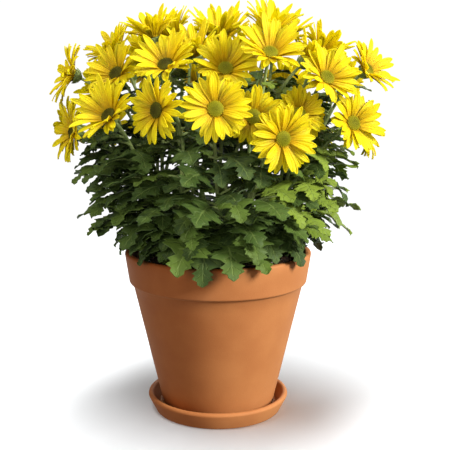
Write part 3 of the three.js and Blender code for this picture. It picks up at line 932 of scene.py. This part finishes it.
CLAY_POT = clay("pot_clay")
CLAY_SAUCER = clay("saucer_clay")
SOIL = soil()
STALK = stalk_green()
LEAF = leaf_green()
RAY = ray_yellow()
DISC = disc_green()


# --- saucer, pot and potting mix

def pot_outer_r(z):
    return POT_BASE_R + (POT_NECK_R - POT_BASE_R) * (z - POT_Z) / (POT_HEIGHT - RIM_HEIGHT)


def pot_inner_r(z):
    return pot_outer_r(z) - POT_WALL


def soil_height(share):
    """How high the mix is, at a share of the way from the middle to its edge."""
    return SOIL_TOP + SOIL_CROWN * (1 - share**2)


def make_saucer():
    lip = SAUCER_WALL / 2
    inner_r = SAUCER_BASE_R - SAUCER_WALL - 0.4
    profile = [
        (0.5, 0),
        *arc(SAUCER_BASE_R - 1.2, 1.2, 1.2, -90, -10, 4),
        *arc(SAUCER_LIP_R - lip, SAUCER_HEIGHT - lip, lip, -10, 190, 14),
        *arc(inner_r, SAUCER_FLOOR + 2.2, 2.2, 0, -90, 4),
        (0.5, SAUCER_FLOOR),
    ]
    saucer = turned(profile, ROUND_SIDES)
    finish_piece(saucer, "clay_saucer", CLAY_SAUCER, ["saucer"])


def make_pot():
    """The pot, from the edge of its drain hole round the outside and back inside."""
    floor_z = POT_Z + POT_FLOOR
    low, high = RIM_Z + RIM_EDGE, POT_TOP - RIM_EDGE
    profile = [
        (DRAIN_R, POT_Z),
        *arc(POT_BASE_R - 1.6, POT_Z + 1.6, 1.6, -90, 12, 5),
        *[(pot_outer_r(z), z) for z in np.linspace(POT_Z + 6, RIM_Z - 1, 12)],
        # a small hollow under the rim
        (pot_outer_r(RIM_Z) + 0.2, RIM_Z - 0.4),
        (pot_outer_r(RIM_Z) + 0.8, RIM_Z),
        *arc(RIM_LOW_R - RIM_EDGE, low, RIM_EDGE, -80, 0, 6),
        *[(RIM_LOW_R + (RIM_TOP_R - RIM_LOW_R) * share, low + (high - low) * share)
          for share in (0.25, 0.5, 0.75)],
        *arc(RIM_TOP_R - RIM_EDGE, high, RIM_EDGE, 5, 90, 7),
        *arc(RIM_INNER_R + RIM_EDGE, high, RIM_EDGE, 90, 180, 6),
        # the step inside, where the rim's wall meets the body's
        (pot_inner_r(RIM_Z) + 1.2, RIM_Z + 5),
        (pot_inner_r(RIM_Z), RIM_Z),
        *[(pot_inner_r(z), z) for z in np.linspace(RIM_Z - 8, floor_z + 3, 8)],
        (pot_inner_r(floor_z) - 2, floor_z),
        (DRAIN_R, floor_z),
    ]
    pot = turned(profile, ROUND_SIDES)
    open_drain(pot)
    finish_piece(pot, "clay_pot", CLAY_POT, ["pot"])


def open_drain(pot):
    """Joins the two ends of the profile into the wall of the drain hole."""
    select_only(pot)
    bpy.ops.object.mode_set(mode="EDIT")
    bpy.ops.mesh.select_all(action="DESELECT")
    bpy.ops.object.mode_set(mode="OBJECT")
    for face in pot.data.polygons:
        face.select = len(face.vertices) == ROUND_SIDES
    bpy.ops.object.mode_set(mode="EDIT")
    bpy.ops.mesh.bridge_edge_loops()
    bpy.ops.mesh.select_all(action="SELECT")
    bpy.ops.mesh.normals_make_consistent(inside=False)
    bpy.ops.object.mode_set(mode="OBJECT")


def make_soil():
    """The heaped mix with a lumpy top, and crumbs of bark and a few pale grains on it."""
    draw = random_from(SOIL_SEED)
    floor_z = POT_Z + POT_FLOOR
    neck_r = pot_inner_r(RIM_Z)
    rim_share = (SOIL_TOP - RIM_Z) / (RIM_HEIGHT - RIM_EDGE)
    top_r = neck_r + (RIM_INNER_R - neck_r) * rim_share - 0.3
    profile = [
        (0.5, floor_z + 0.2),
        (pot_inner_r(floor_z) - 2.6, floor_z + 0.2),
        (pot_inner_r(floor_z + 3) - 0.4, floor_z + 3),
        (neck_r - 0.3, RIM_Z),
        (top_r, SOIL_TOP),
        *[(top_r * (1 - i / 16), soil_height(1 - i / 16)) for i in range(1, 16)],
        (1, SOIL_TOP + SOIL_CROWN),
    ]
    bed = turned(profile, BED_SIDES)
    for vertex in bed.data.vertices:
        x, y, z = vertex.co / MM
        if z > SOIL_TOP + 0.1:
            wave = 1.6 * math.sin(0.31 * x + 1) * math.cos(0.27 * y)
            lump = 1.2 * (draw() - 0.5)
            vertex.co.z += (wave * min(1, (z - SOIL_TOP) / 1.5) + lump) * MM
    finish_piece(bed, "mix_bed", SOIL, ["potting_mix"], 60)

    crumb = Pattern(primitive(bpy.ops.mesh.primitive_ico_sphere_add, subdivisions=1, radius=1))
    crumbs = Copies()
    for _ in range(CRUMBS):
        radius, angle = (top_r - 3) * math.sqrt(draw()), 2 * math.pi * draw()
        size = np.array([0.9 + 2.2 * draw() ** 2, 0.7 + 1.3 * draw(), 0.6 + 0.6 * draw()])
        turn = Matrix.Rotation(2 * math.pi * draw(), 3, "Z")
        turn = turn @ Matrix.Rotation(1.2 * (draw() - 0.5), 3, "X")
        bumps = np.array([0.8 + 0.4 * draw() for _ in crumb.points])
        shape = crumb.points * size * bumps[:, None]
        height = soil_height(radius / RIM_INNER_R) + 0.6
        middle = [radius * math.cos(angle), radius * math.sin(angle), height]
        crumbs.add(crumb, shape @ np.array(turn).T + middle, draw())
    finish_piece(crumbs.piece(), "mix_crumbs", SOIL, ["potting_mix"], 30)


# --- stems and leaves

# One half of a blade's edge from its base to its tip: how far along, and how far from the rib, as
# shares of the blade's length. Three lobes on each side, the last one the tip, each with teeth.
BLADE_EDGE = np.array([
    (0.0, 0.03), (0.06, 0.08), (0.1, 0.2), (0.13, 0.3), (0.17, 0.23), (0.2, 0.28), (0.25, 0.16),
    (0.3, 0.09), (0.35, 0.12), (0.4, 0.28), (0.43, 0.24), (0.47, 0.38), (0.51, 0.31), (0.55, 0.36),
    (0.61, 0.2), (0.67, 0.11), (0.73, 0.21), (0.77, 0.15), (0.83, 0.2), (0.88, 0.1), (0.93, 0.1),
    (1.0, 0.01),
])
BLADE = sheet_pattern(4, len(BLADE_EDGE) - 1)
SMALL_BLADE = sheet_pattern(2, len(BLADE_EDGE) - 1)
RIB_END = 0.86  # how far along the blade its round rib goes
RIB_SHARES = np.array([0.3, 0.6, RIB_END])
PETIOLE_SHARES = np.array([0, 0.5, 1])


def blade_points(sheet, leaf, phase):
    """A blade's points: waved at its edge, and bent down a little at each side."""
    across = sheet.points[:, 0]
    share, width = BLADE_EDGE[rows_of(sheet, len(BLADE_EDGE))].T
    out = np.abs(across)
    sideways = across * width * leaf.blade
    distance = leaf.petiole + leaf.blade * (share + 0.1 * out * width)
    wave = 0.035 * np.sin(15 * share + phase + 1.5 * np.sign(across)) * out**2
    sag = -0.55 * (out * width) ** 2
    quilt = -0.006 * np.cos(2 * math.pi * share / 0.15) * (1 - out)
    return leaf.points(distance, sideways, leaf.blade * (wave + sag + quilt))


def make_leafy_stem(spray, leaves, index, first):
    """A stem, its stalks with the green cups on their ends, and its leaves."""
    node = f"leafy_stem_{index:02d}"
    draw = random_from(BLADE_SEED + index)
    rods = Rods(f"stalks_{index:02d}")
    rods.along(spray.stem, STEM_R * 1.05, STEM_R * 0.85)
    for stalk in spray.stalks:
        rods.along(stalk, STALK_R * 1.1, STALK_R * 0.9)
    blades = Copies()
    for leaf in leaves:
        reach = leaf.petiole + leaf.blade * RIB_END
        on_rib = leaf.petiole + RIB_SHARES * leaf.blade
        distance = np.concatenate([PETIOLE_SHARES * leaf.petiole, on_rib])
        radii = 1.2 - (distance / reach) ** 0.8
        rods.through(leaf.points(distance, lift=-0.7 * radii), radii)
        may_be_yellow_green = leaf.root[0] > YELLOW_GREEN_FROM_X and leaf.root[2] > YELLOW_GREEN_FROM_Z
        yellow_green = may_be_yellow_green and draw() > 0.5
        tone = 1 - 0.1 * draw() if yellow_green else 0.84 * draw()
        sheet = BLADE if leaf.large else SMALL_BLADE
        blades.add(sheet, blade_points(sheet, leaf, 6 * draw()), tone)
    cups = Copies()
    for i, bloom in enumerate(spray.blooms):
        add_cup(cups, bloom, first + i)
    stalks = joined(rods.piece(), cups.piece())
    finish_piece(stalks, f"stalks_{index:02d}", STALK, [node], 60)
    piece = blades.piece()
    thicken(piece, LEAF_THICKNESS)
    finish_piece(piece, f"leaves_{index:02d}", LEAF, [node])


# --- blooms

# Rows of a ray and of a bract: how far along, and how wide.
RAY_ROWS = np.array([
    (0, 0.36), (0.2, 0.62), (0.42, 0.88), (0.64, 1), (0.82, 0.82), (0.94, 0.45), (1, 0.08),
])
RAY_SHEET = sheet_pattern(4, len(RAY_ROWS) - 1)
BRACT_WIDTHS = np.array([0.7, 1, 0.7, 0.08])
BRACT_SHEET = sheet_pattern(2, len(BRACT_WIDTHS) - 1)
# Rows of bracts: how many, the radius and the height of each one's rows, and its half width.
BRACTS = [
    (10, np.array([3.7, 5.3, 6.2, 6.7]), np.array([-6.8, -4.9, -3.2, -2]), 1.2),
    (12, np.array([4.9, 5.9, 6.5, 7.2]), np.array([-4.8, -3.2, -1.9, -1.1]), 1.3),
]
GREEN_CUP = turned_pattern(
    [(0.5, -8.4), (1.7, -8.1), (3.5, -6.6), (5, -4.4), (5.7, -2.4), (5.2, -1.3), (0.5, -1.2)],
    CUP_SIDES,
)
DISC_DOME = turned_pattern(
    [(0.5, -1), (3, -1), (4.4, 0.9), (6, 1.5), (6.2, 2), (5.2, 2.9), (3, 3.8), (0.5, 4.2)],
    DISC_SIDES,
)
RING = turned_pattern(arc(RING_OUTER_R - RING_HALF, 0, RING_HALF, 0, 360, 6), DISC_SIDES)
RING.faces = [face for face in RING.faces if len(face) < DISC_SIDES]  # without its two ends
CONE = {"vertices": 5, "radius1": 0.62, "radius2": 0.36, "depth": 1.3}
FLORET = Pattern(primitive(bpy.ops.mesh.primitive_cone_add, **CONE))
GOLDEN_ANGLE = math.pi * (3 - math.sqrt(5))


def round_the_axis(radius, sideways, angle, height):
    """Points at a radius and out to the side of it, turned by an angle round the Z axis."""
    x = radius * np.cos(angle) - sideways * np.sin(angle)
    y = radius * np.sin(angle) + sideways * np.cos(angle)
    return np.stack([x, y, height], 1)


def ray_points(angle, root_height, slope, reach, swing, droop, curl, arch):
    """One ray: narrow at its root, arched along its length, and channelled across."""
    across = RAY_SHEET.points[:, 0]
    share, width = RAY_ROWS[rows_of(RAY_SHEET, len(RAY_ROWS))].T
    radius = RAY_ROOT_R + (reach - RAY_ROOT_R) * share
    height = root_height + (radius - RING_OUTER_R) * math.tan(slope)
    height += arch * np.sin(math.pi * share) - droop * share**3 + curl * across**2 * share
    return round_the_axis(radius, RAY_HALF_WIDTH * width * across, angle + swing * share**2, height)


def add_rays(rays, bloom, index):
    """Two layers of rays where the solids have them, a third between, and a few round them."""
    draw = random_from(RAY_SEED + index)
    extra = random_from(EXTRA_SEED + index)
    step = 2 * math.pi / RAYS
    turn = draw() * step
    cup = math.radians(CUP + CUP_SPREAD * draw() + CUP_SKYWARD * bloom.axis[2])

    def grow(angle, root_height, slope, source, share=1):
        reach = share * bloom.reach * vary(*RAY_REACH, source)
        lift = slope + math.radians(RAY_TILT * (source() - 0.5))
        swing = RAY_SWING * (source() - 0.5)
        droop = RAY_DROOP * source()
        curl, arch = 0.5 + 1.2 * extra(), 0.6 + 1.3 * extra()
        points = ray_points(angle, root_height, lift, reach, swing, droop, curl, arch)
        rays.add(RAY_SHEET, bloom.place(points), extra())

    for i in range(RAYS):
        grow(turn + (i + 0.5) * step, RING_HALF, cup, draw)
        grow(turn + (i + 1) * step, 0, cup - math.radians(LAYER_STEP), draw)
    for i in range(2 * RAYS):
        angle = turn + (i / 2 + 0.25 + 0.1 * (extra() - 0.5)) * step
        slope = cup - math.radians(LAYER_STEP * (0.2 + 0.8 * extra()))
        grow(angle, 0.5, slope, extra, share=0.94 + 0.06 * extra())
    for i in range(RAYS):
        angle = turn + (i + 0.6 * extra()) * step
        grow(angle, RING_HALF, cup + math.radians(4 + 6 * extra()), extra, share=0.88)
        angle = turn + (i + 0.75 + 0.3 * extra()) * step
        grow(angle, -0.3, cup - math.radians(LAYER_STEP + 2 * extra()), extra, share=0.92)


def add_cup(cups, bloom, index):
    """The green cup under the rays, with two rows of pointed bracts."""
    draw = random_from(CUP_SEED + index)
    cups.add(GREEN_CUP, bloom.place(GREEN_CUP.points), draw())
    across = BRACT_SHEET.points[:, 0]
    row = rows_of(BRACT_SHEET, len(BRACT_WIDTHS))
    for count, radii, heights, half_width in BRACTS:
        offset = draw()
        for i in range(count):
            angle = 2 * math.pi * (i + offset + 0.2 * draw()) / count
            radius = radii[row] - 0.35 * across**2 + 0.4
            sideways = half_width * BRACT_WIDTHS[row] * across
            points = round_the_axis(radius, sideways, angle, heights[row])
            cups.add(BRACT_SHEET, bloom.place(points), draw())


def add_disc(discs, bloom, index):
    """The domed disc, set with small florets in a spiral."""
    draw = random_from(DISC_SEED + index)
    # Painted shade: darker discs for the blooms at the left side.
    in_shade = bloom.middle[0] < SHADED_DISCS_BELOW_X
    darkest, range_of_tones = (0, 0.3) if in_shade else (0.3, 0.7)
    discs.add(DISC_DOME, bloom.place(DISC_DOME.points), darkest + 0.3 * range_of_tones)
    for i in range(FLORETS):
        share = (i + 0.5) / FLORETS
        radius = (DISC_R - 0.3) * math.sqrt(share)
        angle = i * GOLDEN_ANGLE
        size = 0.75 + 0.35 * share + 0.15 * draw()
        turn = Matrix.Rotation(angle, 3, "Z") @ Matrix.Rotation(0.6 * radius / DISC_R, 3, "Y")
        height = 1.7 + DISC_CROWN * (1 - (radius / DISC_R) ** 2) * 0.85
        middle = [radius * math.cos(angle), radius * math.sin(angle), height]
        tone = darkest + range_of_tones * min(1, share * (0.85 + 0.3 * draw()))
        discs.add(FLORET, bloom.place(FLORET.points * size @ np.array(turn).T + middle), tone)


def make_blooms(spray, index, first):
    """The rays of a stem's blooms, on their rings, and the discs."""
    rays, rings, discs = Copies(), Copies(), Copies()
    for i, bloom in enumerate(spray.blooms):
        add_rays(rays, bloom, first + i)
        rings.add(RING, bloom.place(RING.points), 0.5)
        add_disc(discs, bloom, first + i)
    nodes = [f"rays_{first + i + 1:02d}" for i in range(len(spray.blooms))]
    stem_node = f"leafy_stem_{index:02d}"
    sheets = rays.piece()
    thicken(sheets, RAY_THICKNESS)
    piece = joined(sheets, rings.piece())
    finish_piece(piece, f"rays_of_stem_{index:02d}", RAY, nodes)
    finish_piece(discs.piece(), f"discs_{index:02d}", DISC, [stem_node], 30)


# --- the plant

make_saucer()
make_pot()
make_soil()
first_bloom = 0
leaves_of, room_taken = grow_leaves()
fill_with_leaves(leaves_of, room_taken)
for number, (spray, leaves) in enumerate(zip(sprays, leaves_of), 1):
    make_leafy_stem(spray, leaves, number, first_bloom)
    make_blooms(spray, number, first_bloom)
    first_bloom += len(spray.blooms)

# --- floor, light and camera, in metres

WHITE = (1, 1, 1)
FILL_STRENGTH = 0.22
BACKDROP_STRENGTH = 1.05
CAMERA_PLACE = (0, -0.7768, 0.3076)
CAMERA_TILT = 10.2  # degrees down
CAMERA_LENS = 71.27
CAMERA_SHIFT = 7 / 450

KEY_PLACE = (1.44, -0.92, 1.0)
MIDDLE = (0, 0, 0.2)
FOOT = (0, 0, 0)
# Each lamp: what it lights, its place, where it points, its size, its power in watts, its tint.
LAMPS = {
    "key": ("plant", KEY_PLACE, MIDDLE, (0.7, 0.7), 70, (1, 0.98, 0.94)),
    "clay_key": ("clay", KEY_PLACE, MIDDLE, (0.7, 0.7), 78, (1, 0.99, 0.97)),
    "left_fill": ("plant", (-1.6, -1.2, 0.9), MIDDLE, (1.6, 1.6), 22, (1, 0.92, 0.8)),
    "front_fill": ("plant", (-0.3, -2.3, 1.1), (0, 0, 0.3), (1.6, 1.6), 22, WHITE),
    "back_fill": ("pieces", (0.7, 2.1, 1.2), MIDDLE, (1.6, 1.6), 26, WHITE),
    "clay_fill": ("clay", (-1.1, -2.0, 0.7), (0, 0, 0.1), (1.2, 1.2), 12, (1, 0.42, 0.12)),
    "floor_wash": ("paper", (0, 0, 2.4), FOOT, (1.6, 1.6), 13, WHITE),
    "top": ("paper_and_clay", (-0.06, -0.12, 2.2), FOOT, (0.7, 2.4), 78, WHITE),
    "plant_top": ("plant", (0, 0, 2.2), FOOT, (0.7, 1.8), 36, WHITE),
}

scene = bpy.context.scene


def make_floor():
    """A sheet of white paper, wide enough for the shadows."""
    floor = primitive(bpy.ops.mesh.primitive_plane_add, size=1.7, location=(0, 0, 0))
    floor.name = "floor"
    settle(floor)
    paper = Finish("floor_paper", Specular_IOR_Level=0)
    shade = paper.mix(paper.noise(40, 2), (0.88, 0.9, 0.91, 1), (0.9, 0.92, 0.93, 1))
    paper.set("Base Color", shade)
    paper.set("Roughness", 0.95)
    floor.data.materials.append(paper.material)
    floor.visible_diffuse = False
    floor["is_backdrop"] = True
    return floor


def make_camera():
    """A camera at the height and distance that the pot's rim, foot and saucer were fitted with."""
    camera = bpy.data.cameras.new("camera")
    camera.sensor_width = 36
    camera.lens = CAMERA_LENS
    camera.shift_x = CAMERA_SHIFT
    holder = added("camera", camera)
    holder.location = CAMERA_PLACE
    holder.rotation_euler = (math.radians(90 - CAMERA_TILT), 0, 0)
    scene.camera = holder


def make_surroundings():
    """A white backdrop all round, which lights the object less than it shows."""
    scene.world = bpy.data.worlds.new("studio")
    scene.world.use_nodes = True
    tree = scene.world.node_tree
    fill = tree.nodes["Background"]
    backdrop = tree.nodes.new("ShaderNodeBackground")
    for light, strength in ((fill, FILL_STRENGTH), (backdrop, BACKDROP_STRENGTH)):
        light.inputs["Color"].default_value = (*WHITE, 1)
        light.inputs["Strength"].default_value = strength
    either = tree.nodes.new("ShaderNodeMixShader")
    seen = tree.nodes.new("ShaderNodeLightPath").outputs["Is Camera Ray"]
    tree.links.new(seen, either.inputs[0])
    tree.links.new(fill.outputs[0], either.inputs[1])
    tree.links.new(backdrop.outputs[0], either.inputs[2])
    tree.links.new(either.outputs[0], tree.nodes["World Output"].inputs["Surface"])


def make_lamp(name, lit, place, aim, size, power, tint):
    """A wide lamp that lights one collection and nothing else."""
    light = bpy.data.lights.new(name, "AREA")
    light.shape = "ELLIPSE"
    (light.size, light.size_y), light.energy, light.color = size, power, tint
    holder = added(name, light)
    holder.location = place
    holder.rotation_euler = (Vector(aim) - Vector(place)).to_track_quat("-Z", "Y").to_euler()
    holder.light_linking.receiver_collection = lit
    light.use_shadow = name != "floor_wash"


def make_lamps(floor):
    """The lamps, each linked to what it lights. The floor's wash casts no shadow."""
    pieces = list(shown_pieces())
    clay_pieces = [piece for piece in pieces if piece.name.startswith("clay")]
    members = {
        "plant": [piece for piece in pieces if piece not in clay_pieces],
        "clay": clay_pieces,
        "pieces": pieces,
        "paper_and_clay": [floor, *clay_pieces],
        "paper": [floor],
    }
    groups = {name: bpy.data.collections.new(name) for name in members}
    for name, group in groups.items():
        for member in members[name]:
            group.objects.link(member)
    for name, (lit, *rest) in LAMPS.items():
        make_lamp(name, groups[lit], *rest)


floor = make_floor()
make_camera()
make_surroundings()
make_lamps(floor)
scene.view_settings.view_transform = "Standard"

boxes = {"cad": cad_box, "visual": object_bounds()}
{name: [list(map(float, corner)) for corner in box] for name, box in boxes.items()}
